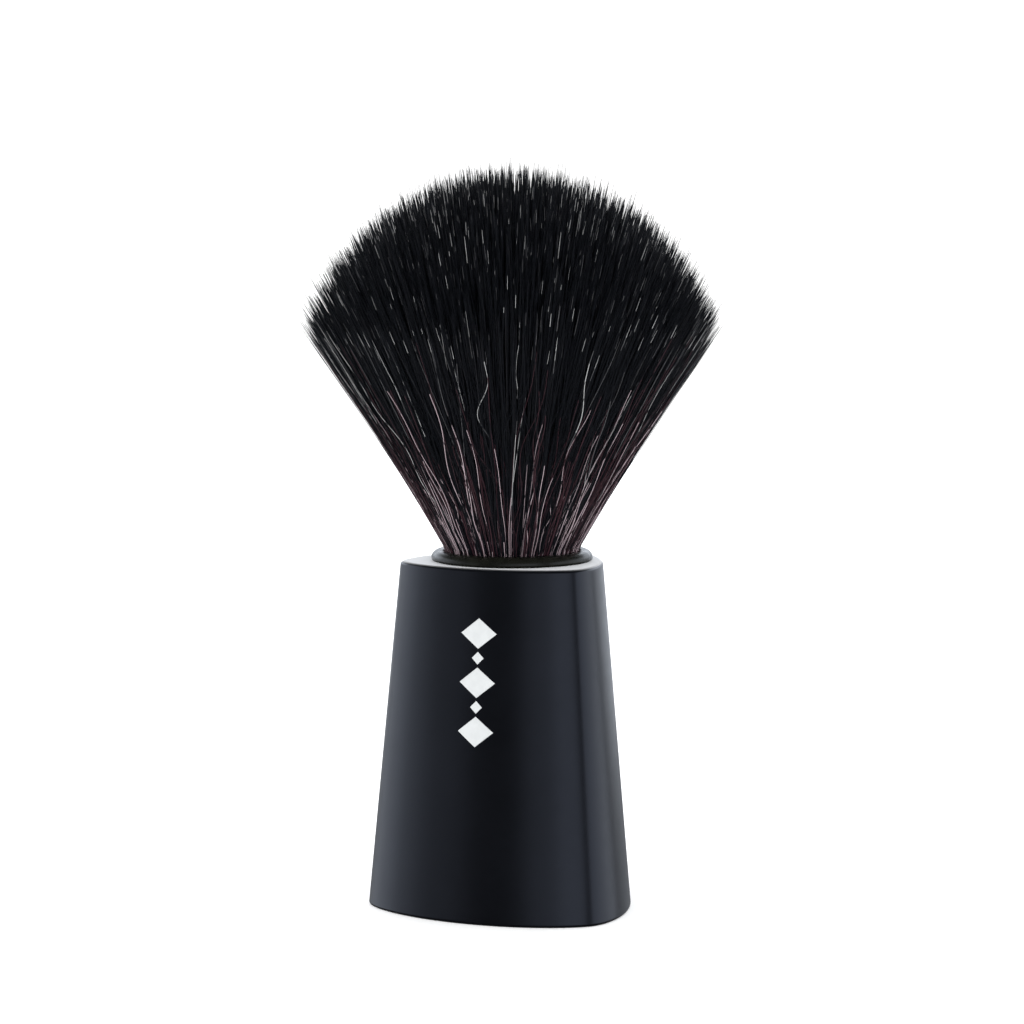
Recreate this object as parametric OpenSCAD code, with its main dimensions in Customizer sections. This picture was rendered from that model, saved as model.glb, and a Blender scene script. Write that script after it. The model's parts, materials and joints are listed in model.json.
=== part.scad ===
// Shaving brush: a tapered handle of rounded triangular section, weighted in the foot,
// with a round fan-shaped fibre knot bonded into a socket in its shoulder.
// Millimetres. The origin is the centre of the foot, +Z runs up to the fibre tips,
// and the face that carries the printed ornament looks along -Y.

/* [Handle] */
// Height of the handle, from foot to shoulder
handle_h = 49.9; // [48:0.1:60]
// Width of the foot, from a face to the opposite corner
foot_w = 37.9; // [37:0.1:44]
// Width of the shoulder, from a face to the opposite corner
shoulder_w = 29; // [28.4:0.1:34]
// How far the foot's three corners stand out and its faces lie in
foot_tri = 1.8; // [0:0.01:1.85]
// How far the shoulder's three corners stand out and its faces lie in
shoulder_tri = 1.5; // [0:0.01:1.5]
// Radius that rounds the edge of the foot
foot_edge_r = 0.5; // [0.3:0.1:1.2]
// Radius that rounds the edge of the shoulder
shoulder_edge_r = 0.5; // [0.3:0.1:1]

/* [Base plate and ballast] */
// Width of the rim that the handle stands on
rim_w = 3; // [2.5:0.1:3.2]
// Thickness of the base plate
plate_t = 2.2; // [1.5:0.1:2.6]
// How far the base plate sits up inside the rim
plate_recess = 0.4; // [0.2:0.1:0.8]
// Diameter of the steel ballast slug
ballast_d = 18; // [12:0.5:20]
// Length of the steel ballast slug
ballast_l = 18; // [10:0.5:22]

/* [Knot] */
// Outside diameter of the ferrule cup that holds the fibres
knot_d = 21; // [20:0.1:21.2]
// Wall thickness of the ferrule cup
cup_wall = 0.8; // [0.6:0.1:0.9]
// Depth of the socket in the shoulder
socket_depth = 17; // [15:0.5:20]
// Thickness of the adhesive round and under the cup
glue_t = 0.3; // [0.2:0.05:0.35]
// Height of the resin that the fibre ends are set in
resin_h = 10; // [6:0.5:11]
// Diameter of the binding thread
thread_d = 0.6; // [0.5:0.05:0.6]
// Turns of binding thread
thread_turns = 4; // [3:1:5]

/* [Collar] */
// Outside diameter of the collar ring
collar_d = 23.2; // [22.8:0.1:24]
// How far the collar ring stands above the shoulder
collar_h = 1.5; // [1:0.1:2]

/* [Tuft] */
// Diameter of the fibres where they leave the collar
neck_d = 19.2; // [18.4:0.1:19.3]
// Widest diameter of the fan
fan_d = 60.3; // [56:0.1:66]
// Height of the widest part above the collar
fan_rise = 33.2; // [30:0.1:36]
// Height of the domed tips above the widest part
dome_rise = 21.3; // [20:0.1:24]
// Outward bow of the fan's side, as a share of its spread
fan_bow = 0.075; // [0:0.005:0.1]

/* [Flex] */
// Height of the left-right bending centre above the collar
sweep_rise = 4.3; // [4:0.1:5]
// Height of the front-back bending centre above the collar
nod_rise = 14.8; // [14:0.1:15.5]
// Radius that parts the fixed fibre roots from the lower fibres
root_r = 13.5; // [13.2:0.1:14]
// Radius that parts the lower fibres from the upper fibres
mid_r = 20.3; // [20:0.1:21]
// Gap between fibre zones that move apart
flex_gap = 0.3; // [0.2:0.05:0.4]

/* [Printed ornament] */
// Height of a large lozenge
lozenge_h = 4.3; // [3:0.1:5]
// Width of a large lozenge
lozenge_w = 5.4; // [3:0.1:6]
// Height and width of a small lozenge
dot_w = 1.8; // [1:0.1:2.4]
// Space between lozenges
ornament_gap = 0.4; // [0.2:0.1:0.8]
// Height of the ornament's centre above the foot
ornament_z = 34; // [26:0.1:35]
// Sideways place of the ornament on its face
ornament_x = 1.4; // [-2:0.1:2]
// Thickness of the printed film
film_t = 0.12; // [0.08:0.01:0.2]

/* [Hidden] */

$fn = 96;
// Gap left between neighbours that only touch
touch_gap = 0.02;
// Cutters run this far past the face that they open
overrun = 1;

// Handle section and levels
section_steps = 96;
edge_steps = 4;
wall_steps = 4;

// Foot, from the plate's underside to the end of the ballast bore
plate_top = plate_recess + plate_t;
bore_clearance = 0.1;
bore_end = plate_top + ballast_l + 2 * bore_clearance;
plate_play = 0.2;

// Socket, cup and resin
cup_r = knot_d / 2;
cup_bore_r = cup_r - cup_wall;
socket_r = cup_r + glue_t + touch_gap;
socket_floor = handle_h - socket_depth;
cup_floor = socket_floor + glue_t + 2 * touch_gap;
cup_floor_t = 1;
glue_top = handle_h - 1;
resin_floor = cup_floor + cup_floor_t + touch_gap;
resin_top = resin_floor + resin_h;

// Fibres inside the cup, waisted where the thread binds them
neck_r = neck_d / 2;
collar_top = handle_h + collar_h;
waist_r = neck_r - thread_d;
thread_pitch = 0.9 * thread_d;
thread_r = waist_r + thread_d / 2 + 0.04;
thread_floor = resin_top + 1;
waist_low = thread_floor - 0.3;
waist_high = thread_floor + (thread_turns - 1) * thread_pitch + thread_d + 0.3;
waist_slope = 0.4;

// Collar section: a domed shoulder outside, a small rounded lip inside
collar_r = collar_d / 2;
collar_bore_r = neck_r + 0.2;
lip_r = 0.3;
arc_steps = 8;

// Fan
fan_r = fan_d / 2;
fan_steps = 10;
dome_steps = 16;
dome_r = (fan_r * fan_r + dome_rise * dome_rise) / (2 * dome_rise);
fan_top = collar_top + fan_rise + dome_rise;
dome_half_angle = asin(fan_r / dome_r);

// Bending centres
sweep_z = collar_top + sweep_rise;
nod_z = collar_top + nod_rise;

// How far a rounded edge has drawn in at height z
function edge_inset(z) =
    z < foot_edge_r
        ? foot_edge_r - sqrt(max(0, foot_edge_r ^ 2 - (foot_edge_r - z) ^ 2))
        : z > handle_h - shoulder_edge_r
            ? shoulder_edge_r - sqrt(max(0, shoulder_edge_r ^ 2 - (z - handle_h + shoulder_edge_r) ^ 2))
            : 0;

// A point of the rounded triangle whose outward normal points along angle.
// Every width across the section is the same, as on a rotor of constant width.
function section_point(angle, radius, tri) =
    let (turn = 3 * (angle - 90))
    let (reach = radius + tri * cos(turn))
    let (lead = -3 * tri * sin(turn))
    [reach * cos(angle) - lead * sin(angle), reach * sin(angle) + lead * cos(angle)];

// The handle's section at height z, moved outward by grow
function handle_section(z, grow) =
    let (t = z / handle_h)
    let (radius = (foot_w * (1 - t) + shoulder_w * t) / 2 + grow)
    let (tri = foot_tri * (1 - t) + shoulder_tri * t)
    [for (i = [0 : section_steps - 1]) section_point(360 * i / section_steps, radius, tri)];

// Levels that the handle is lofted through, closer together on its rounded edges
wall_low = foot_edge_r;
wall_high = handle_h - shoulder_edge_r;
handle_levels = concat(
    [for (i = [0 : edge_steps]) foot_edge_r * (1 - cos(90 * i / edge_steps))],
    [for (i = [1 : wall_steps - 1]) wall_low + (wall_high - wall_low) * i / wall_steps],
    [for (i = [0 : edge_steps]) wall_high + shoulder_edge_r * sin(90 * i / edge_steps)]
);

// Radius of the fan at height above the collar
function fan_radius(rise) =
    let (u = rise / fan_rise)
    neck_r + (fan_r - neck_r) * (u - fan_bow * u * (1 - u));

function arc(centre, radius, from, to, steps) =
    [for (i = [0 : steps])
        let (a = from + (to - from) * i / steps)
        centre + radius * [cos(a), sin(a)]];

// Solid handle, before it is bored, moved outward by grow
module handle_body(grow) {
    rings = len(handle_levels);
    n = section_steps;
    points = [
        for (z = handle_levels)
            for (p = handle_section(z, grow - edge_inset(z)))
                [p.x, p.y, z]
    ];
    floor_face = [for (i = [0 : n - 1]) i];
    top_face = [for (i = [n - 1 : -1 : 0]) (rings - 1) * n + i];
    wall_faces = [
        for (k = [0 : rings - 2])
            for (i = [0 : n - 1])
                let (a = k * n + i)
                let (b = k * n + (i + 1) % n)
                each [[a, a + n, b + n], [a, b + n, b]]
    ];
    polyhedron(points, concat([floor_face], wall_faces, [top_face]));
}

module handle_shell() {
    color("#1c1e25")
        difference() {
            handle_body(0);
            translate([0, 0, socket_floor])
                cylinder(r = socket_r, h = socket_depth + overrun);
            translate([0, 0, plate_top - overrun])
                cylinder(d = ballast_d + 2 * bore_clearance, h = bore_end - plate_top + overrun);
            translate([0, 0, -overrun])
                linear_extrude(plate_top + overrun)
                    polygon(handle_section(0, -rim_w));
        }
}

module base_plate() {
    color("#17181c")
        translate([0, 0, plate_recess])
            linear_extrude(plate_t - touch_gap)
                polygon(handle_section(0, -rim_w - plate_play));
}

module ballast_slug() {
    color("#8d9096")
        translate([0, 0, plate_top])
            cylinder(d = ballast_d, h = ballast_l);
}

module socket_adhesive() {
    color("#c9b98a")
        difference() {
            translate([0, 0, socket_floor + touch_gap])
                cylinder(r = cup_r + glue_t, h = glue_top - socket_floor - touch_gap);
            translate([0, 0, socket_floor + touch_gap + glue_t])
                cylinder(r = cup_r + touch_gap, h = socket_depth);
        }
}

module ferrule_cup() {
    color("#2a2b2e")
        difference() {
            translate([0, 0, cup_floor])
                cylinder(r = cup_r, h = handle_h - touch_gap - cup_floor);
            translate([0, 0, cup_floor + cup_floor_t])
                cylinder(r = cup_bore_r, h = socket_depth);
        }
}

module resin_plug() {
    color("#b5914f")
        translate([0, 0, resin_floor])
            cylinder(r = cup_bore_r - touch_gap, h = resin_h - touch_gap);
}

module binding_thread() {
    color("#d8d2c4")
        rotate_extrude()
            for (i = [0 : thread_turns - 1])
                translate([thread_r, thread_floor + thread_d / 2 + i * thread_pitch])
                    circle(d = thread_d, $fn = 24);
}

module collar_ring() {
    dome_w = collar_r - collar_bore_r - 2 * lip_r;
    outer_curve = [
        for (i = [0 : arc_steps])
            let (a = 90 * i / arc_steps)
            [collar_r - dome_w * (1 - cos(a)), handle_h + collar_h * sin(a)]
    ];
    inner_lip = arc([collar_bore_r + lip_r, collar_top - lip_r], lip_r, 90, 180, arc_steps);
    color("#27281f")
        rotate_extrude()
            polygon(concat(outer_curve, inner_lip, [[collar_bore_r, handle_h]]));
}

// The whole fan, neck to tips, before it is parted into zones
module fan() {
    side = [
        for (i = [0 : fan_steps])
            let (rise = fan_rise * i / fan_steps)
            [fan_radius(rise), collar_top + rise]
    ];
    dome = [
        for (i = [1 : dome_steps])
            let (a = dome_half_angle * (1 - i / dome_steps))
            [dome_r * sin(a), fan_top - dome_r * (1 - cos(a))]
    ];
    rotate_extrude()
        polygon(concat([[0, collar_top]], side, dome));
}

module zone_ball(z, radius) {
    translate([0, 0, z])
        sphere(r = radius);
}

module fibre_root() {
    color("#1a1316") {
        rotate_extrude()
            polygon([
                [0, resin_top],
                [neck_r, resin_top],
                [neck_r, waist_low - waist_slope],
                [waist_r, waist_low],
                [waist_r, waist_high],
                [neck_r, waist_high + waist_slope],
                [neck_r, collar_top],
                [0, collar_top]
            ]);
        intersection() {
            fan();
            zone_ball(sweep_z, root_r);
        }
    }
}

module tuft_lower() {
    color("#141013")
        difference() {
            intersection() {
                fan();
                zone_ball(nod_z, mid_r);
            }
            zone_ball(sweep_z, root_r + flex_gap);
        }
}

module tuft_upper() {
    color("#0e0d11")
        difference() {
            fan();
            zone_ball(nod_z, mid_r + flex_gap);
        }
}

module lozenge(w, h) {
    polygon([[0, -h / 2], [w / 2, 0], [0, h / 2], [-w / 2, 0]]);
}

// A column of large lozenges with small ones between them
module ornament_outline() {
    pitch = lozenge_h + dot_w + 2 * ornament_gap;
    for (i = [-1 : 1])
        translate([0, i * pitch])
            lozenge(lozenge_w, lozenge_h);
    for (i = [-0.5, 0.5])
        translate([0, i * pitch])
            lozenge(dot_w, dot_w);
}

module printed_ornament() {
    color("#e6e7e5")
        difference() {
            intersection() {
                handle_body(film_t);
                translate([ornament_x, 0, ornament_z])
                    rotate([90, 0, 0])
                        linear_extrude(foot_w)
                            ornament_outline();
            }
            handle_body(0);
        }
}

handle_shell();
base_plate();
ballast_slug();
socket_adhesive();
ferrule_cup();
resin_plug();
binding_thread();
collar_ring();
fibre_root();
tuft_lower();
tuft_upper();
printed_ornament();
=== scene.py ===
import json
import math

import bmesh
import bpy
import numpy as np
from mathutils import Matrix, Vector


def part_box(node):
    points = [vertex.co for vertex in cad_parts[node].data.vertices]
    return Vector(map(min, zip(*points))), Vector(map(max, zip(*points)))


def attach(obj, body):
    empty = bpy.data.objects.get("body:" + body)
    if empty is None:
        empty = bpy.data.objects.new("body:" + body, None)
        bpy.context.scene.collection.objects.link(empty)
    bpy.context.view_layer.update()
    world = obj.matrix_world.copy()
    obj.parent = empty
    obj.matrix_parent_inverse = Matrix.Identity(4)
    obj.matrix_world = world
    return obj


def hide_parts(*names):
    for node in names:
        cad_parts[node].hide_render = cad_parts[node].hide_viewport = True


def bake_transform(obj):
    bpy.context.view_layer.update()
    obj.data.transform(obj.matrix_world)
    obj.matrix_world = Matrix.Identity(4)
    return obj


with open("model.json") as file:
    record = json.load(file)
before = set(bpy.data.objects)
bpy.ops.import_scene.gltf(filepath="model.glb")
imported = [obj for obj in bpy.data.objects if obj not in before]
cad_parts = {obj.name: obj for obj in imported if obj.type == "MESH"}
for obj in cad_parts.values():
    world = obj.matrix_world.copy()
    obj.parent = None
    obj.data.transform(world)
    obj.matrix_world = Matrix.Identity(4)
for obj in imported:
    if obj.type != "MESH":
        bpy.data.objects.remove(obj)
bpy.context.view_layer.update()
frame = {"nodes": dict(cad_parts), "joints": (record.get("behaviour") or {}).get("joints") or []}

# Blender works in metres, and lengths are written here in millimetres times MM
MM = 0.001
FULL_TURN = 2 * math.pi
SEED = 41

# ---------------------------------------------------------------- sizes read from the frame

handle_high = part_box("handle_shell")[1]
plate_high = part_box("base_plate")[1]
slug_low, slug_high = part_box("ballast_slug")
glue_low, glue_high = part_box("socket_adhesive")
ring_low, ring_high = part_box("collar_ring")
head_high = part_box("tuft_upper")[1]
print_low, print_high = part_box("printed_ornament")
joint_height = {joint["name"]: joint["pos_m"][2] for joint in frame["joints"]}
sweep_z, nod_z = joint_height["tuft_sweep"], joint_height["tuft_nod"]
shoulder_z = handle_high.z
collar_z = ring_high.z

# Sizes that the boxes can't tell, the same as in the CAD model
FOOT_EDGE = 0.5 * MM
SHOULDER_EDGE = 0.5 * MM
RIM_WIDTH = 3.0 * MM
NECK_RADIUS = 9.6 * MM
FAN_RISE = 33.2 * MM
FAN_BOW = 0.075
PLAY = 0.1 * MM
HANDLE_CORNERS = 3

# The camera: its turn round the brush, from the printed face's side (-Y) towards +X, its distance
# and height, how far it looks down in radians, and its focal length in millimetres
CAMERA_AZIMUTH = math.radians(25.7)
CAMERA_DISTANCE = 510 * MM
CAMERA_HEIGHT = 106.3 * MM
CAMERA_PITCH = 0.0968
CAMERA_LENS = 125.5


def measured_section(level):
    """Mean radius and corner push of the CAD handle's outline, at a level where it has a row of points."""
    row_height = 0.02 * MM
    mesh = frame["nodes"]["handle_shell"].data
    points = np.empty(len(mesh.vertices) * 3, np.float32)
    mesh.vertices.foreach_get("co", points)
    points = points.reshape(-1, 3)
    row = points[np.abs(points[:, 2] - level) < row_height]
    return (row[:, 0].max() - row[:, 0].min()) / 2, (row[:, 1].max() + row[:, 1].min()) / 2


WALL_LOW, WALL_HIGH = FOOT_EDGE, shoulder_z - SHOULDER_EDGE
low_radius, low_push = measured_section(WALL_LOW)
high_radius, high_push = measured_section(WALL_HIGH)
SIDES = 360
ANGLES = np.linspace(0, FULL_TURN, SIDES, endpoint=False)


def outline(z, inset=0.0, angles=ANGLES):
    """The handle's rounded triangle at height z, drawn in by inset: one point for each outward angle."""
    share = (z - WALL_LOW) / (WALL_HIGH - WALL_LOW)
    radius = low_radius + (high_radius - low_radius) * share - inset
    push = low_push + (high_push - low_push) * share
    turn = HANDLE_CORNERS * (angles - math.pi / 2)
    reach = radius + push * np.cos(turn)
    lead = -HANDLE_CORNERS * push * np.sin(turn)
    x = reach * np.cos(angles) - lead * np.sin(angles)
    y = reach * np.sin(angles) + lead * np.cos(angles)
    return np.stack([x, y, np.full_like(x, z)], 1)


def circle(radius, z):
    return np.stack([radius * np.cos(ANGLES), radius * np.sin(ANGLES), np.full_like(ANGLES, z)], 1)


def pole(z):
    return np.array([[0.0, 0.0, z]])


# ---------------------------------------------------------------- mesh helpers


def new_object(name, data):
    obj = bpy.data.objects.new(name, data)
    bpy.context.scene.collection.objects.link(obj)
    return obj


def finish_mesh(work, mesh, sharp_degrees):
    """Writes worked faces to a mesh, facing outward and smooth but for edges sharper than the angle."""
    bmesh.ops.recalc_face_normals(work, faces=work.faces)
    work.to_mesh(mesh)
    work.free()
    mesh.shade_smooth()
    mesh.set_sharp_from_angle(angle=math.radians(sharp_degrees))


def loft(name, rings):
    """A closed skin through rings of equal length. A ring of one point is a pole that closes an end."""
    starts = np.cumsum([0] + [len(ring) for ring in rings])
    faces = []
    for k in range(len(rings) - 1):
        first, second = starts[k], starts[k + 1]
        sides = max(len(rings[k]), len(rings[k + 1]))
        for i in range(sides):
            j = (i + 1) % sides
            if len(rings[k]) == 1:
                faces.append((first, second + i, second + j))
            elif len(rings[k + 1]) == 1:
                faces.append((first + i, second, first + j))
            else:
                faces.append((first + i, second + i, second + j, first + j))
    mesh = bpy.data.meshes.new(name)
    mesh.from_pydata(np.concatenate(rings).tolist(), [], faces)
    work = bmesh.new()
    work.from_mesh(mesh)
    finish_mesh(work, mesh, sharp_degrees=40)
    return new_object(name, mesh)


def arc_points(centre, radius_r, radius_z, start, end, steps):
    """Points of an elliptic arc in the radius and height plane, angles in degrees."""
    angles = np.radians(np.linspace(start, end, steps + 1))
    unit_arc = zip(np.cos(angles), np.sin(angles))
    return [(centre[0] + radius_r * x, centre[1] + radius_z * y) for x, y in unit_arc]


# ---------------------------------------------------------------- material helpers


def material(name, colour, roughness, **sockets):
    """A Principled material; sockets are extra Principled inputs, with _ for each space in their names."""
    mat = bpy.data.materials.new(name)
    mat.use_nodes = True
    shader = mat.node_tree.nodes["Principled BSDF"]
    shader.inputs["Base Color"].default_value = (*colour, 1)
    shader.inputs["Roughness"].default_value = roughness
    for key, value in sockets.items():
        shader.inputs[key.replace("_", " ")].default_value = value
    return mat


def noise(mat, scale, detail=3, stretch=(1, 1, 1)):
    """A noise texture in the object's own coordinates; scale is in features per metre."""
    tree = mat.node_tree
    coord = tree.nodes.new("ShaderNodeTexCoord")
    mapping = tree.nodes.new("ShaderNodeMapping")
    texture = tree.nodes.new("ShaderNodeTexNoise")
    mapping.inputs["Scale"].default_value = stretch
    texture.inputs["Scale"].default_value = scale
    texture.inputs["Detail"].default_value = detail
    tree.links.new(coord.outputs["Object"], mapping.inputs["Vector"])
    tree.links.new(mapping.outputs["Vector"], texture.inputs["Vector"])
    return texture.outputs["Fac"]


def add_bump(mat, source, strength, distance):
    """Lets the source raise and lower the surface, by up to the distance."""
    tree = mat.node_tree
    bump = tree.nodes.new("ShaderNodeBump")
    bump.inputs["Strength"].default_value = strength
    bump.inputs["Distance"].default_value = distance
    tree.links.new(source, bump.inputs["Height"])
    tree.links.new(bump.outputs["Normal"], tree.nodes["Principled BSDF"].inputs["Normal"])


def vary_roughness(mat, source, low, high):
    """Lets the source, mostly between 0.3 and 0.7, drive the roughness from low to high."""
    tree = mat.node_tree
    fit = tree.nodes.new("ShaderNodeMapRange")
    fit.inputs["From Min"].default_value = 0.3
    fit.inputs["From Max"].default_value = 0.7
    fit.inputs["To Min"].default_value = low
    fit.inputs["To Max"].default_value = high
    tree.links.new(source, fit.inputs["Value"])
    tree.links.new(fit.outputs["Result"], tree.nodes["Principled BSDF"].inputs["Roughness"])


def vary_colour(mat, source, dark, light):
    """Lets the source, mostly between 0.35 and 0.65, drive the colour from dark to light."""
    tree = mat.node_tree
    ramp = tree.nodes.new("ShaderNodeValToRGB")
    low_end, high_end = ramp.color_ramp.elements
    low_end.position, low_end.color = 0.35, (*dark, 1)
    high_end.position, high_end.color = 0.65, (*light, 1)
    tree.links.new(source, ramp.inputs["Fac"])
    tree.links.new(ramp.outputs["Color"], tree.nodes["Principled BSDF"].inputs["Base Color"])


def paint(obj, *mats):
    obj.data.materials.clear()
    for mat in mats:
        obj.data.materials.append(mat)


# ---------------------------------------------------------------- materials


def handle_material():
    """Satin black moulding with a cool tint and a fine, slightly upright mottle from the mould."""
    mat = material("satin_black", (0.0017, 0.002, 0.0032), 0.3, Specular_Tint=(0.78, 0.83, 1.0, 1))
    mottle = noise(mat, 90, detail=4)
    vary_colour(mat, mottle, dark=(0.0014, 0.0016, 0.0027), light=(0.0021, 0.0024, 0.0039))
    vary_roughness(mat, noise(mat, 400, detail=4), low=0.28, high=0.32)
    add_bump(mat, noise(mat, 1300, stretch=(1, 1, 0.45)), strength=0.5, distance=0.006 * MM)
    return mat


def painted_sheen_land_material():
    """The shoulder's flat land: a lighter copy of the same black, with a finer, matter surface and a
    painted sheen that pales it at a low angle.
    """
    mat = material("land_black_painted_sheen", (0.02, 0.021, 0.024), 0.5, Sheen_Weight=1.0, Sheen_Roughness=0.38)
    vary_roughness(mat, noise(mat, 900, detail=4), low=0.45, high=0.55)
    add_bump(mat, noise(mat, 2500, detail=2), strength=0.3, distance=0.004 * MM)
    return mat


def print_material():
    """Off-white pad print, a little uneven where the ink lies thin."""
    mat = material("white_print", (0.6, 0.615, 0.615), 0.55)
    vary_colour(mat, noise(mat, 900, detail=4), dark=(0.585, 0.6, 0.6), light=(0.62, 0.635, 0.635))
    add_bump(mat, noise(mat, 7000), strength=0.2, distance=0.01 * MM)
    return mat


def collar_material():
    """Glossy olive-black moulding with shallow flow marks round it."""
    mat = material("olive_black", (0.007, 0.0074, 0.0052), 0.27, Specular_IOR_Level=0.3)
    vary_colour(mat, noise(mat, 700, detail=4), dark=(0.006, 0.0062, 0.0045), light=(0.0095, 0.01, 0.007))
    vary_roughness(mat, noise(mat, 500, detail=4), low=0.22, high=0.33)
    add_bump(mat, noise(mat, 1800), strength=0.25, distance=0.01 * MM)
    return mat


def plate_material():
    """Spark-eroded matte black of the base plate."""
    mat = material("matte_black", (0.012, 0.012, 0.013), 0.6)
    vary_roughness(mat, noise(mat, 1500), low=0.52, high=0.68)
    add_bump(mat, noise(mat, 5000, detail=4), strength=0.6, distance=0.03 * MM)
    return mat


def steel_material():
    """Turned steel of the ballast slug, its marks drawn out sideways."""
    drawn_out = (0.05, 0.05, 1)
    mat = material("turned_steel", (0.52, 0.53, 0.55), 0.35, Metallic=1.0)
    vary_roughness(mat, noise(mat, 2500, stretch=drawn_out), low=0.25, high=0.45)
    add_bump(mat, noise(mat, 4000, stretch=drawn_out), strength=0.3, distance=0.02 * MM)
    return mat


def resin_material(name, dark, light):
    """Cured resin or adhesive, with slight clouding and small pits."""
    mat = material(name, light, 0.3)
    vary_colour(mat, noise(mat, 600, detail=4), dark, light)
    add_bump(mat, noise(mat, 1200), strength=0.4, distance=0.04 * MM)
    return mat


def ferrule_material():
    """Moulded black of the ferrule cup."""
    mat = material("ferrule_black", (0.02, 0.02, 0.022), 0.4)
    vary_roughness(mat, noise(mat, 1200), low=0.32, high=0.48)
    add_bump(mat, noise(mat, 3000), strength=0.3, distance=0.02 * MM)
    return mat


def thread_material():
    """Pale waxed thread with a fine grain along it."""
    mat = material("waxed_thread", (0.62, 0.58, 0.5), 0.7, Sheen_Weight=0.3)
    vary_colour(mat, noise(mat, 3000, detail=4), dark=(0.5, 0.46, 0.38), light=(0.7, 0.66, 0.58))
    add_bump(mat, noise(mat, 9000, stretch=(1, 1, 3)), strength=0.6, distance=0.04 * MM)
    return mat


# ---------------------------------------------------------------- handle


def build_handle():
    """The moulded shell: foot recess and ballast bore below, socket above, rounded edges between."""
    bore_radius = (slug_high.x - slug_low.x) / 2 + PLAY
    bore_top = slug_high.z + 2 * PLAY
    socket_radius = (glue_high.x - glue_low.x) / 2
    recess_top = plate_high.z
    chamfer = 0.2 * MM
    edge_steps, wall_steps, shoulder_steps = 12, 60, 6
    quarter = np.linspace(0, math.pi / 2, edge_steps + 1)
    foot_edge = [
        outline(FOOT_EDGE * (1 - math.cos(a)), FOOT_EDGE * (1 - math.sin(a))) for a in quarter
    ]
    wall = [outline(z) for z in np.linspace(WALL_LOW, WALL_HIGH, wall_steps + 1)[1:-1]]
    shoulder_edge = [
        outline(WALL_HIGH + SHOULDER_EDGE * math.sin(a), SHOULDER_EDGE * (1 - math.cos(a)))
        for a in quarter
    ]
    brim, mouth = shoulder_edge[-1], circle(socket_radius + chamfer, shoulder_z)
    shares = np.linspace(0, 1, shoulder_steps + 1)[1:]
    shoulder = [brim + (mouth - brim) * share for share in shares]
    rings = [
        pole(bore_top),
        circle(bore_radius, bore_top),
        circle(bore_radius, recess_top + chamfer),
        circle(bore_radius + chamfer, recess_top),
        outline(recess_top, RIM_WIDTH + chamfer),
        outline(recess_top - chamfer, RIM_WIDTH),
        outline(chamfer, RIM_WIDTH),
        outline(0, RIM_WIDTH - chamfer),
        *foot_edge,
        *wall,
        *shoulder_edge,
        *shoulder,
        circle(socket_radius, shoulder_z - chamfer),
        circle(socket_radius, glue_low.z),
        pole(glue_low.z),
    ]
    obj = loft("handle_moulding", rings)
    paint(obj, handle_material(), painted_sheen_land_material())
    # The land's painted sheen and lighter black start halfway up the rounded edge, where the faces turn
    # upward
    faces_up = 0.7
    for face in obj.data.polygons:
        is_painted_sheen_land = face.normal.z > faces_up and face.center.z > WALL_HIGH
        face.material_index = 1 if is_painted_sheen_land else 0
    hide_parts("handle_shell")
    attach(obj, "handle")


# ---------------------------------------------------------------- printed ornament


def face_point(x, z, lift):
    """The point of the printed face (the one that looks along -Y) at x and z, lifted off the face."""
    angles = np.radians(np.linspace(-150, -30, 400))
    row = outline(z, angles=angles)
    angle = np.interp(x, row[:, 0], angles)
    y = np.interp(x, row[:, 0], row[:, 1])
    return (x + lift * math.cos(angle), y + lift * math.sin(angle), z)


def add_lozenge(work, centre_x, centre_z, width, height):
    """Adds one lozenge: a thin film that follows the face and is rounded off at its edge."""
    film, sunk = 0.07 * MM, 0.03 * MM
    # For each ring its way in from the edge, as a share of the lozenge, and its share of the film's height
    rings = ((0.0, 0.0), (0.015, 0.7), (0.04, 1.0), (0.25, 1.0), (0.5, 1.0), (0.75, 1.0), (0.97, 1.0))
    steps = 14
    corners = np.array([(0, -height / 2), (width / 2, 0), (0, height / 2), (-width / 2, 0)])
    edge = [
        corners[k] + (corners[(k + 1) % 4] - corners[k]) * i / steps
        for k in range(4)
        for i in range(steps)
    ]

    def ring_of_points(inward, lift):
        size = 1 - inward
        return [
            work.verts.new(face_point(centre_x + x * size, centre_z + z * size, lift))
            for x, z in edge
        ]

    loops = [ring_of_points(inward, film * share) for inward, share in rings]
    under = ring_of_points(0, -sunk)
    for outer, inner in zip([*loops[:-1], under], [*loops[1:], loops[0]]):
        for i in range(len(edge)):
            j = (i + 1) % len(edge)
            work.faces.new((outer[i], outer[j], inner[j], inner[i]))
    work.faces.new(loops[-1])
    work.faces.new(under[::-1])


def build_ornament():
    """A column of three lozenges with a small one in each gap between them."""
    small, gap = 1.8 * MM, 0.4 * MM
    column = print_high.z - print_low.z
    wide = print_high.x - print_low.x
    tall = (column - 2 * small - 4 * gap) / 3
    pitch = tall + small + 2 * gap
    centre_x, centre_z = (print_high.x + print_low.x) / 2, (print_high.z + print_low.z) / 2
    work = bmesh.new()
    for k in (-1, 0, 1):
        add_lozenge(work, centre_x, centre_z + k * pitch, wide, tall)
    for k in (-0.5, 0.5):
        add_lozenge(work, centre_x, centre_z + k * pitch, small, small)
    mesh = bpy.data.meshes.new("ornament_print")
    finish_mesh(work, mesh, sharp_degrees=50)
    obj = new_object("ornament_print", mesh)
    paint(obj, print_material())
    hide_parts("printed_ornament")
    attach(obj, "handle")


# ---------------------------------------------------------------- collar ring


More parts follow.
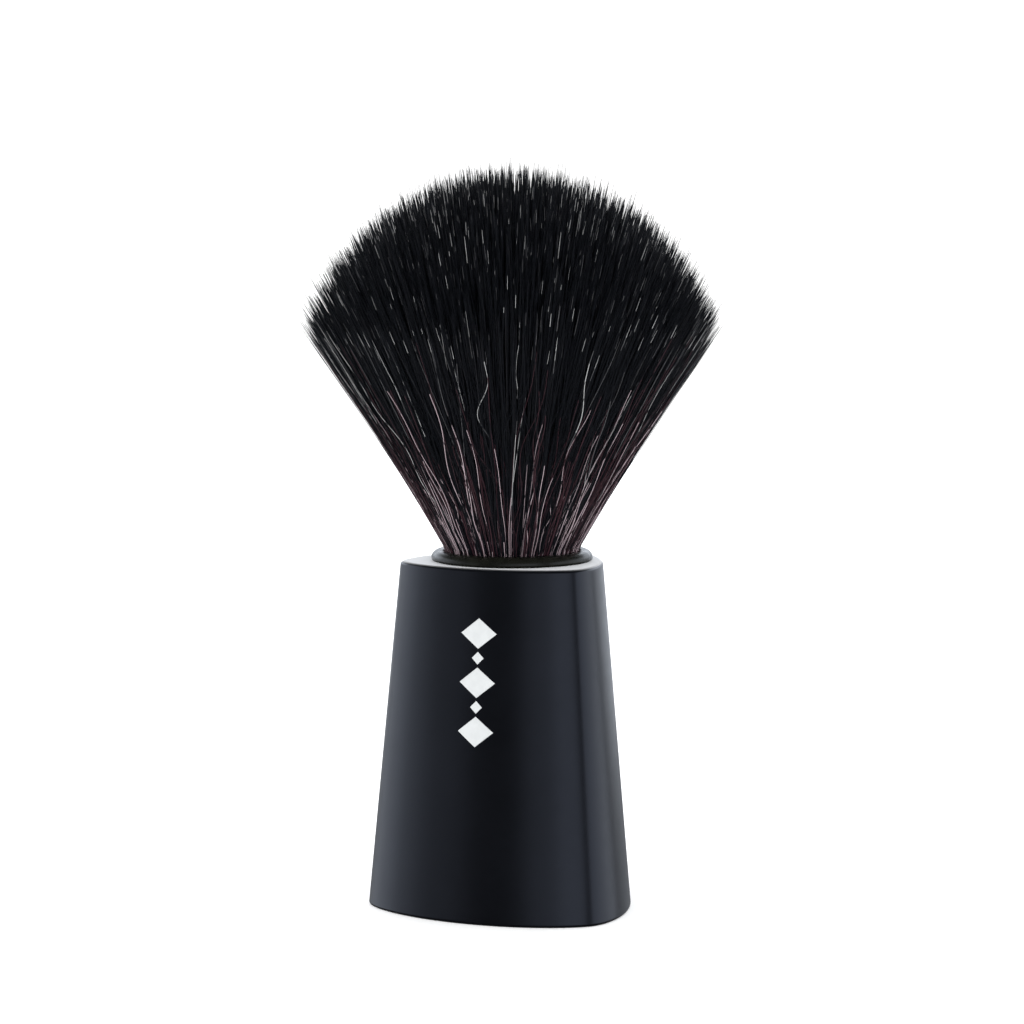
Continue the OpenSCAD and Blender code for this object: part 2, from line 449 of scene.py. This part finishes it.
def build_collar():
    """The collar ring: a domed shoulder outside, a rolled lip at the crest, a straight bore inside."""
    outer, base, crest = (ring_high.x - ring_low.x) / 2, ring_low.z, ring_high.z
    neck_gap = 0.2 * MM
    bore = NECK_RADIUS + neck_gap
    lip, undercut = 0.3 * MM, 0.35 * MM
    dome = outer - bore - 2 * lip
    undercut_steps, dome_steps, lip_steps = 6, 28, 12
    low_centre = (outer - undercut, base + undercut)
    dome_centre = (outer - dome, base + undercut)
    lip_centre = (bore + lip, crest - lip)
    profile = [(bore, base), (outer - 2 * undercut, base)]
    profile += arc_points(low_centre, undercut, undercut, -90, 0, undercut_steps)
    profile += arc_points(dome_centre, dome, crest - base - undercut, 0, 90, dome_steps)[1:]
    profile += arc_points(lip_centre, lip, lip, 90, 180, lip_steps)
    profile += [(bore, base + undercut)]
    rings = [circle(radius, z) for radius, z in profile]
    obj = loft("collar", rings + [rings[0]])
    work = bmesh.new()
    work.from_mesh(obj.data)
    # The last ring lies on the first, and the two become one
    bmesh.ops.remove_doubles(work, verts=work.verts, dist=0.001 * MM)
    bmesh.ops.recalc_face_normals(work, faces=work.faces)
    work.to_mesh(obj.data)
    work.free()
    paint(obj, collar_material())
    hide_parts("collar_ring")
    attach(obj, "handle")


# ---------------------------------------------------------------- fibres

# The bundle, the loose strands that wander over its outside, and the stray ones that stand off it
FIBRES = 18000
LOOSE = 720
STRAY = 380
FIBRE_RADIUS = 0.058 * MM
# A fibre narrows to this share of its radius over its last few millimetres
TIP_SHARE = 0.3
TAPER = 3.0 * MM
# Loose and stray strands are thinner by this factor, and so are the bundle's fibres with painted highlights
LOOSE_THINNESS = 0.75
HIGHLIGHT_THINNESS = 0.8
# Every fibre starts this far below the crest of the collar
BURIED = 1.6 * MM
# How far a root lies off its tip's line: as an angle, and as a share of the fan's radius
ROOT_TURN, LOOSE_ROOT_TURN = 0.05, 0.13
ROOT_SHIFT = 0.03
# How far a fibre waves off its line
BUNDLE_WAVE, LOOSE_WAVE = 0.22 * MM, 0.1 * MM
# The ends gather in this many clumps, over this length, and are drawn by between these shares of the way
CLUMPS = 6500
CLUMP_REACH = 7.0 * MM
CLUMP_PULL = (0.55, 0.95)
CLUMP_UNEVENNESS = 0.6 * MM
# The bundle fills this share of the fan, with ends lower by a mean and a spread, a few of them much shorter
FILL = 0.982
TIPS_LOWER, TIPS_SPREAD = 0.6 * MM, 0.65 * MM
SHORT_SHARE, SHORT_BY = 0.05, 5 * MM
# The bundle's outermost fibres: where they start, and over what share of the radius they take over
SKIN_FROM, SKIN_DEPTH = 0.93, 0.04
# Loose strands' sway grows over this height above the collar, and dies out over a length below a top
SWAY_RISE = 4 * MM
SWAY_TOP, SWAY_FALL = 32 * MM, 14 * MM
# This many loose strands are drawn for each one wanted. They end in the dome's lowest part, below this
# share of its depth, and up to this much lower still
LOOSE_DRAWN = 4
LOOSE_FROM_DEPTH = 0.97
LOOSE_LOWER = 4 * MM

# The fibres part here between their lower and upper stretches, at a height set from the sweep joint
CUT_GAP, BEND_GAP = 0.2 * MM, 0.1 * MM
CUT_Z = 2 * sweep_z - collar_z + CUT_GAP
# A fibre's rings of points: shares of the lower stretch, shares of the upper one, shares of its last bit
LOW_RINGS = np.array([0.0, 0.16, 0.36, 0.57, 0.79, 1.0])
HIGH_RINGS = np.array([0.0, 0.12, 0.27, 0.46, 0.72, 1.0])
END_RINGS = np.array([0.4, 0.7, 0.88, 1.0])
END_LENGTH = 6.0 * MM
LOOSE_LOW_RINGS = np.linspace(0, 1, 10)
LOOSE_HIGH_RINGS = np.linspace(0, 1, 28)
CORNERS = 3
LOW_PIECES, HIGH_PIECES = 4, 7

# The kinds of fibre, some of them painted glints and highlights, and the shares of fibres that are cool,
# of painted glints and of painted tip glints that are bright
BLACK, COOL, DIM_GLINT, PALE_GLINT, BROWN_AND_BACKLIT, ROSE_HIGHLIGHT = range(6)
COOL_SHARE, BRIGHT_GLINTS, BRIGHT_TIPS = 0.06, 0.4, 0.35


def fibre_materials():
    """Black fibre, the cooler strands, dim and pale painted glints, brown strands that are partly painted
    backlight, and rosy painted highlights, in the order of the kinds.
    """
    return (
        material("fibre_black", (0.0075, 0.0085, 0.0112), 0.38, Specular_IOR_Level=0.15),
        material("fibre_cool", (0.014, 0.0145, 0.0175), 0.36, Specular_IOR_Level=0.3),
        # The dim and pale materials are grey colour painted on as light caught along a fibre
        material("fibre_dim_glint", (0.085, 0.085, 0.09), 0.36),
        material("fibre_pale_glint", (0.42, 0.42, 0.42), 0.4),
        material("fibre_brown_and_backlit", (0.05, 0.019, 0.026), 0.38),
        material("fibre_rose_highlight", (0.48, 0.375, 0.405), 0.4),
    )


def fan_radius(rise):
    """The fan's outer radius at a height above the collar, carried on straight above its widest part."""
    spread = head_high.x - NECK_RADIUS
    share = rise / FAN_RISE
    bowed = NECK_RADIUS + spread * (share - FAN_BOW * share * (1 - share))
    straight = head_high.x + spread * (1 + FAN_BOW) * (share - 1)
    return np.where(rise < 0, NECK_RADIUS, np.where(share < 1, bowed, straight))


def dome_tips(rng, count, from_depth=0.0):
    """Points spread evenly over the dome, or over its part below a share of its depth, as x, y and z."""
    dome_rise = head_high.z - collar_z - FAN_RISE
    dome_radius = (head_high.x ** 2 + dome_rise ** 2) / (2 * dome_rise)
    depth = dome_rise * (from_depth + (1 - from_depth) * rng.random(count))
    radial = np.sqrt(dome_radius ** 2 - (dome_radius - depth) ** 2)
    side = FULL_TURN * rng.random(count)
    return np.stack([radial * np.cos(side), radial * np.sin(side), head_high.z - depth], 1)


def drawn(rng, shape, least, extra):
    """Random numbers from least up to least plus extra."""
    return least + extra * rng.random(shape)


class Strands:
    """The centre lines of a lot of fibres: arrays with one entry for each fibre."""

    def __init__(self, rng, tips, waviness):
        count = len(tips)
        radial = np.hypot(tips[:, 0], tips[:, 1])
        self.count = count
        self.tip_z = tips[:, 2].copy()
        self.out = radial / fan_radius(tips[:, 2] - collar_z)
        self.side = np.arctan2(tips[:, 1], tips[:, 0])
        # Each fibre leaves the collar a little off its tip's line, the more so near the middle
        self.root_side = self.side + rng.normal(0, ROOT_TURN, count) / (0.3 + self.out)
        self.root_out = np.clip(self.out + rng.normal(0, ROOT_SHIFT, count), 0, 0.99)
        self.pull = np.zeros((count, 2))
        self.wave = waviness * rng.random((2, count))
        self.turns = drawn(rng, (2, count), 0.8, 1.6)
        self.phase = FULL_TURN * rng.random((2, count))
        self.spin = FULL_TURN * rng.random(count)
        self.radius = FIBRE_RADIUS * drawn(rng, count, 0.8, 0.4)

    def gather(self, rng, tips):
        """Draws the ends towards the nearest clump centre, and gives each clump its own length."""
        centres = tips[rng.choice(len(tips), CLUMPS, replace=False)]
        nearest = np.empty(len(tips), int)
        block_size = 500
        for start in range(0, len(tips), block_size):
            block = tips[start:start + block_size]
            distance_squared = ((block[:, None] - centres[None]) ** 2).sum(2)
            nearest[start:start + block_size] = distance_squared.argmin(1)
        weakest, strongest = CLUMP_PULL
        share = drawn(rng, len(tips), weakest, strongest - weakest)
        self.pull = ((centres[nearest] - tips) * share[:, None])[:, :2]
        self.tip_z += rng.normal(0, CLUMP_UNEVENNESS, CLUMPS)[nearest]

    def centre(self, z):
        """Centre of each fibre at heights z, an array with one row for each fibre."""
        share = np.clip((z - collar_z + BURIED) / (self.tip_z - collar_z + BURIED)[:, None], 0, 1)
        ease = share * share * (3 - 2 * share)
        out = self.root_out[:, None] + (self.out - self.root_out)[:, None] * ease
        side = self.root_side[:, None] + (self.side - self.root_side)[:, None] * ease
        reach = out * fan_radius(z - collar_z)
        # The waves die out at both ends, and grow on the way up
        swell = np.sin(math.pi * share) * (0.35 + 0.65 * share)
        turn = FULL_TURN * self.turns[:, :, None] * share + self.phase[:, :, None]
        wave = self.wave[:, :, None] * np.sin(turn)
        near_tip = np.clip(1 - (self.tip_z[:, None] - z) / CLUMP_REACH, 0, 1) ** 1.5
        x = reach * np.cos(side) + wave[0] * swell + self.pull[:, 0:1] * near_tip
        y = reach * np.sin(side) + wave[1] * swell + self.pull[:, 1:2] * near_tip
        return np.stack([x, y, z], 2)

    def thickness(self, z):
        """Radius of each fibre at heights z: even, then tapered over its last bit."""
        above = self.tip_z[:, None] - z
        taper = np.clip(TIP_SHARE + (1 - TIP_SHARE) * above / TAPER, TIP_SHARE, 1)
        return self.radius[:, None] * taper


class LooseStrands(Strands):
    """Strands of the outermost layer, which wave from side to side and cross their neighbours."""

    def __init__(self, rng, tips, inner, outer, sway):
        super().__init__(rng, tips, LOOSE_WAVE)
        count = self.count
        self.root_side = self.side + rng.normal(0, LOOSE_ROOT_TURN, count)
        self.out = drawn(rng, count, inner, outer - inner)
        # The roots stay inside the collar's bore
        self.root_out = np.minimum(self.out, 0.995) - 0.02 * rng.random(count)
        self.radius *= LOOSE_THINNESS
        self.sway = sway * rng.random(count) ** 1.3
        self.sway_length = drawn(rng, count, 9, 9) * MM
        self.sway_phase = FULL_TURN * rng.random(count)

    def centre(self, z):
        """The same centre, moved sideways round the brush by the strand's sway."""
        points = super().centre(z)
        rise = z - collar_z
        fade = np.clip(rise / SWAY_RISE, 0, 1) * np.clip((SWAY_TOP - rise) / SWAY_FALL, 0, 1)
        turn = FULL_TURN * rise / self.sway_length[:, None] + self.sway_phase[:, None]
        sideways = self.sway[:, None] * fade * np.sin(turn)
        side = np.arctan2(points[..., 1], points[..., 0])
        points[..., 0] -= sideways * np.sin(side)
        points[..., 1] += sideways * np.cos(side)
        return points


def loose_strands(rng, wanted, inner, outer, sway):
    """Loose strands, which lie thickest at the fan's left and right as the camera sees it, so that the
    painted glints and highlights they carry paint a rim light along those silhouettes.
    """
    count = LOOSE_DRAWN * wanted
    tips = dome_tips(rng, count, LOOSE_FROM_DEPTH)
    across = np.abs(np.cos(np.arctan2(tips[:, 1], tips[:, 0]) - CAMERA_AZIMUTH))
    # The chance to be kept rises from the front and back to the left and right
    least, extra = 0.4, 1.1
    kept = rng.random(count) < (least + extra * across ** 3) / (least + extra)
    tips = tips[kept][:wanted]
    tips[:, 2] -= LOOSE_LOWER * rng.random(len(tips))
    return LooseStrands(rng, tips, inner, outer, sway)


class Coats:
    """Which kind each fibre is at each height: black, with painted glints and tip glints, painted rose
    highlights and brown roots, partly painted backlight.
    """

    def __init__(self, rng, strands, glint, brown_and_backlit, rose_highlight, tip_glint, reach=1.0):
        """glint, brown_and_backlit, rose_highlight and tip_glint are the shares of the fibres that have
        them.
        reach stretches the painted glints, the brown roots and the rosy painted highlights."""
        shape = (strands.count, 1)

        def chosen(share):
            return rng.random(shape) < np.reshape(share, (-1, 1))

        self.length = (strands.tip_z - collar_z)[:, None]
        self.base = np.where(chosen(COOL_SHARE), COOL, BLACK)
        self.glint = chosen(glint)
        self.brown_and_backlit = chosen(brown_and_backlit)
        self.rose_highlight = chosen(rose_highlight)
        self.bright = chosen(BRIGHT_GLINTS)
        self.glint_from = rng.random(shape) ** 0.7 * 0.95 * self.length
        self.glint_length = reach * drawn(rng, shape, 6, 18) * MM
        self.brown_and_backlit_to = reach * drawn(rng, shape, 4, 16) * MM
        self.rose_highlight_to = reach * (3 + 12 * rng.random(shape) ** 2) * MM
        self.tip_glint = np.where(chosen(tip_glint), drawn(rng, shape, 0.6, 2.4), 0) * MM
        self.bright_tip = chosen(BRIGHT_TIPS)

    def kinds(self, rings_z):
        """The kind of each fibre between its rings of points."""
        middle = (rings_z[:, :-1] + rings_z[:, 1:]) / 2 - collar_z
        kind = np.repeat(self.base, middle.shape[1], 1)
        # Brown: partly the fibres' own root tint, partly painted backlight shining through the outer fibres
        kind = np.where(self.brown_and_backlit & (middle < self.brown_and_backlit_to), BROWN_AND_BACKLIT, kind)
        # Painted highlight: a pale rosy colour on the lowest part of some strands, where they catch the
        # light
        kind = np.where(self.rose_highlight & (middle < self.rose_highlight_to), ROSE_HIGHLIGHT, kind)
        # A painted glint is dim, and the middle of a bright one is a pale painted glint
        off_middle = np.abs((middle - self.glint_from) / self.glint_length - 0.5)
        kind = np.where(self.glint & (off_middle < 0.5), DIM_GLINT, kind)
        kind = np.where(self.glint & self.bright & (off_middle < 0.35), PALE_GLINT, kind)
        # Painted glints on the last bit of some fibres, as if their tips caught the light
        at_tip = self.length - middle < self.tip_glint
        return np.where(at_tip, np.where(self.bright_tip, PALE_GLINT, DIM_GLINT), kind)


def build_bundle(rng):
    """The bundle's fibres and their coats, with more brown (partly painted backlight), painted rose
    highlights and painted glints in its skin than inside.
    """
    tips = dome_tips(rng, FIBRES)
    bundle = Strands(rng, tips, BUNDLE_WAVE)
    bundle.out *= FILL
    bundle.gather(rng, tips)
    bundle.tip_z += rng.normal(-TIPS_LOWER, TIPS_SPREAD, FIBRES)
    is_short = rng.random(FIBRES) < SHORT_SHARE
    bundle.tip_z -= np.where(is_short, SHORT_BY * rng.random(FIBRES), 0)
    skin = np.clip((bundle.out - SKIN_FROM) / SKIN_DEPTH, 0, 1)
    coats = Coats(
        rng, bundle,
        glint=0.004 + 0.012 * skin,
        brown_and_backlit=0.03 + 0.22 * skin,
        rose_highlight=0.01 + 0.06 * skin,
        tip_glint=0.12 - 0.07 * bundle.out,
    )
    bundle.radius *= np.where((coats.glint | coats.rose_highlight)[:, 0], HIGHLIGHT_THINNESS, 1)
    return bundle, coats


def build_fibres():
    """The bundle, the loose strands and the stray ones, each cut in a lower and an upper stretch."""
    rng = np.random.default_rng(SEED)
    bundle, bundle_coats = build_bundle(rng)
    loose = loose_strands(rng, LOOSE, inner=0.965, outer=0.99, sway=1.25 * MM)
    loose_coats = Coats(rng, loose, glint=0.04, brown_and_backlit=0.32, rose_highlight=0.2, tip_glint=0.15)
    stray = loose_strands(rng, STRAY, inner=0.99, outer=1.03, sway=0.7 * MM)
    stray_coats = Coats(rng, stray, glint=0.2, brown_and_backlit=0.6, rose_highlight=0.35, tip_glint=0.3, reach=1.6)

    mats = fibre_materials()
    bottom = collar_z - BURIED
    for name, strands, coats, low_shares, high_shares, low_pieces, high_pieces in (
        ("fibres", bundle, bundle_coats, LOW_RINGS, HIGH_RINGS, LOW_PIECES, HIGH_PIECES),
        ("loose", loose, loose_coats, LOOSE_LOW_RINGS, LOOSE_HIGH_RINGS, 1, 1),
        ("stray", stray, stray_coats, LOOSE_LOW_RINGS, LOOSE_HIGH_RINGS, 1, 1),
    ):
        low_z = np.repeat((bottom + (CUT_Z - bottom) * low_shares)[None], strands.count, 0)
        body_top = (strands.tip_z - END_LENGTH)[:, None]
        body_z = CUT_Z + (body_top - CUT_Z) * high_shares
        high_z = np.concatenate([body_z, body_top + END_LENGTH * END_RINGS], 1)
        fibre_stretch(f"{name}_lower", low_z, strands, coats, mats, low_pieces,
                      ("fibre_root", "tuft_lower"))
        fibre_stretch(f"{name}_upper", high_z, strands, coats, mats, high_pieces,
                      ("tuft_upper",))


def fibre_stretch(name, rings_z, strands, coats, mats, pieces, nodes):
    """One stretch of every fibre, as closed tubes in several pieces, one for each sector round the brush.
    """
    centres = strands.centre(rings_z)
    radius = strands.thickness(rings_z)[:, :, None]
    corner = strands.spin[:, None, None] + np.arange(CORNERS) * FULL_TURN / CORNERS
    points = np.repeat(centres[:, :, None, :], CORNERS, 2)
    points[..., 0] += radius * np.cos(corner)
    points[..., 1] += radius * np.sin(corner)
    kind = coats.kinds(rings_z)
    turn = (strands.side + math.pi) / FULL_TURN
    sector = np.floor(turn * pieces).astype(int) % pieces
    for k in range(pieces):
        mine = np.flatnonzero(sector == k)
        obj = tubes(f"{name}_{k + 1}", points[mine], kind[mine], mats)
        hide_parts(*nodes)
        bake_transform(obj)


def tubes(name, points, kind, mats):
    """A mesh of closed tubes from points[fibre, ring, corner]. kind[fibre, segment] picks the material."""
    count, rings, corners, _ = points.shape
    index = np.arange(count * rings * corners).reshape(count, rings, corners)
    following = np.roll(index, -1, 2)
    sides = [index[:, :-1], following[:, :-1], following[:, 1:], index[:, 1:]]
    quads = np.stack(sides, -1).reshape(-1, 4)
    quad_kind = np.repeat(kind[:, :, None], corners, 2).reshape(-1)
    caps = np.concatenate([index[:, 0, ::-1], index[:, -1]])
    cap_kind = np.concatenate([kind[:, 0], kind[:, -1]])
    loops = np.concatenate([quads.reshape(-1), caps.reshape(-1)]).astype(np.int32)
    quad_starts = np.arange(len(quads)) * 4
    cap_starts = len(quads) * 4 + np.arange(len(caps)) * corners
    starts = np.concatenate([quad_starts, cap_starts]).astype(np.int32)
    kinds = np.concatenate([quad_kind, cap_kind]).astype(np.int32)
    mesh = bpy.data.meshes.new(name)
    mesh.vertices.add(points.size // 3)
    mesh.vertices.foreach_set("co", points.astype(np.float32).reshape(-1))
    mesh.loops.add(len(loops))
    mesh.loops.foreach_set("vertex_index", loops)
    mesh.polygons.add(len(starts))
    mesh.polygons.foreach_set("loop_start", starts)
    for mat in mats:
        mesh.materials.append(mat)
    mesh.polygons.foreach_set("material_index", kinds)
    # Flat faces: each fibre is a fine prism, and its sides catch the light one at a time
    mesh.polygons.foreach_set("use_smooth", np.zeros(len(starts), bool))
    mesh.update(calc_edges=True)
    return new_object(name, mesh)


# ---------------------------------------------------------------- CAD pieces that stay


def finish_inner_pieces():
    """Gives the pieces inside the handle and the plate under it their materials."""
    nodes = frame["nodes"]
    paint(nodes["base_plate"], plate_material())
    paint(nodes["ballast_slug"], steel_material())
    paint(nodes["socket_adhesive"],
          resin_material("cured_adhesive", dark=(0.5, 0.42, 0.25), light=(0.66, 0.58, 0.38)))
    paint(nodes["ferrule_cup"], ferrule_material())
    paint(nodes["resin_plug"],
          resin_material("cast_resin", dark=(0.3, 0.17, 0.05), light=(0.48, 0.3, 0.1)))
    paint(nodes["binding_thread"], thread_material())


# ---------------------------------------------------------------- camera, lights and floor

# The height that the lights aim at, how far off they stand, and their faint blue cast
AIM_HEIGHT = 55 * MM
LIGHT_DISTANCE, FILL_DISTANCE = 800 * MM, 1100 * MM
COOL_LIGHT = (0.85, 0.91, 1.0)
# How strongly the surroundings light things, and how strongly mirror-like surfaces see them
SURROUNDINGS, SURROUNDINGS_MIRRORED = 1.25, 0.06
FLOOR_SIZE = 12000 * MM


def add_camera():
    cam = bpy.data.cameras.new("camera")
    cam.lens = CAMERA_LENS
    cam.sensor_width = 36
    cam.clip_start, cam.clip_end = 0.01, 100
    obj = new_object("camera", cam)
    obj.location = (
        CAMERA_DISTANCE * math.sin(CAMERA_AZIMUTH),
        -CAMERA_DISTANCE * math.cos(CAMERA_AZIMUTH),
        CAMERA_HEIGHT,
    )
    obj.rotation_euler = (math.pi / 2 - CAMERA_PITCH, 0, CAMERA_AZIMUTH)
    bpy.context.scene.camera = obj


def softbox(name, bearing, elevation, wide, tall, radiance, distance=LIGHT_DISTANCE):
    """A rectangular studio light. Bearing counts from the camera's right, away from the camera.
    Bearing, elevation, and how wide and tall the light looks from the brush are in degrees."""
    angle = math.radians(bearing) + CAMERA_AZIMUTH
    rise = math.radians(elevation)
    width = 2 * distance * math.tan(math.radians(wide / 2))
    height = 2 * distance * math.tan(math.radians(tall / 2))
    light = bpy.data.lights.new(name, "AREA")
    light.shape = "RECTANGLE"
    light.size, light.size_y = width, height
    light.energy = radiance * math.pi * width * height
    light.color = COOL_LIGHT
    obj = new_object(name, light)
    level = math.cos(rise)
    outward = Vector((math.cos(angle) * level, math.sin(angle) * level, math.sin(rise)))
    obj.location = outward * distance + Vector((0, 0, AIM_HEIGHT))
    obj.rotation_euler = outward.to_track_quat("Z", "Y").to_euler()
    obj.visible_camera = False


def add_lights():
    """Tall panels round the brush. The walls mirror them as upright bands, brightest at both sides."""
    softbox("softbox_right", bearing=3, elevation=0, wide=72, tall=50, radiance=1.15)
    softbox("softbox_right_back", bearing=66, elevation=0, wide=40, tall=50, radiance=0.32)
    softbox("softbox_left_core", bearing=156, elevation=0, wide=34, tall=50, radiance=0.55)
    softbox("softbox_left", bearing=157, elevation=0, wide=66, tall=50, radiance=0.4)
    softbox("softbox_left_wide", bearing=165, elevation=0, wide=110, tall=50, radiance=0.35)
    softbox("fill_front_core", bearing=-66, elevation=0, wide=32, tall=50, radiance=0.5,
            distance=FILL_DISTANCE)
    softbox("fill_front", bearing=-76, elevation=0, wide=60, tall=50, radiance=0.5,
            distance=FILL_DISTANCE)
    softbox("softbox_back", bearing=86, elevation=-3, wide=80, tall=14, radiance=0.7)
    softbox("softbox_back_high", bearing=90, elevation=17, wide=100, tall=22, radiance=2.0)


def add_world():
    """White surroundings that light everything evenly, but look nearly dark to mirror-like surfaces."""
    world = bpy.data.worlds.new("studio")
    world.use_nodes = True
    tree = world.node_tree
    back = tree.nodes["Background"]
    back.inputs["Color"].default_value = (1, 1, 1, 1)
    path = tree.nodes.new("ShaderNodeLightPath")
    strength = tree.nodes.new("ShaderNodeMapRange")
    strength.inputs["To Min"].default_value = SURROUNDINGS
    strength.inputs["To Max"].default_value = SURROUNDINGS_MIRRORED
    tree.links.new(path.outputs["Is Glossy Ray"], strength.inputs["Value"])
    tree.links.new(strength.outputs["Result"], back.inputs["Strength"])
    bpy.context.scene.world = world


def add_floor():
    """A pale, fine-grained floor that runs out of sight. A slight glow keeps it white round the foot."""
    mesh = bpy.data.meshes.new("floor")
    work = bmesh.new()
    bmesh.ops.create_grid(work, x_segments=24, y_segments=24, size=FLOOR_SIZE / 2)
    work.to_mesh(mesh)
    work.free()
    floor = new_object("floor", mesh)
    mat = material("pale_floor", (0.94, 0.94, 0.94), 0.9, Specular_IOR_Level=0.1,
                   Emission_Color=(1, 1, 1, 1), Emission_Strength=0.2)
    add_bump(mat, noise(mat, 300), strength=0.1, distance=0.2 * MM)
    paint(floor, mat)
    # The handle's walls don't mirror the floor
    floor.visible_glossy = False


def set_look():
    scene = bpy.context.scene
    scene.view_settings.view_transform = "Standard"
    scene.view_settings.look = "None"


add_camera()
add_lights()
add_world()
add_floor()
set_look()
build_handle()
build_ornament()
build_collar()
build_fibres()
finish_inner_pieces()
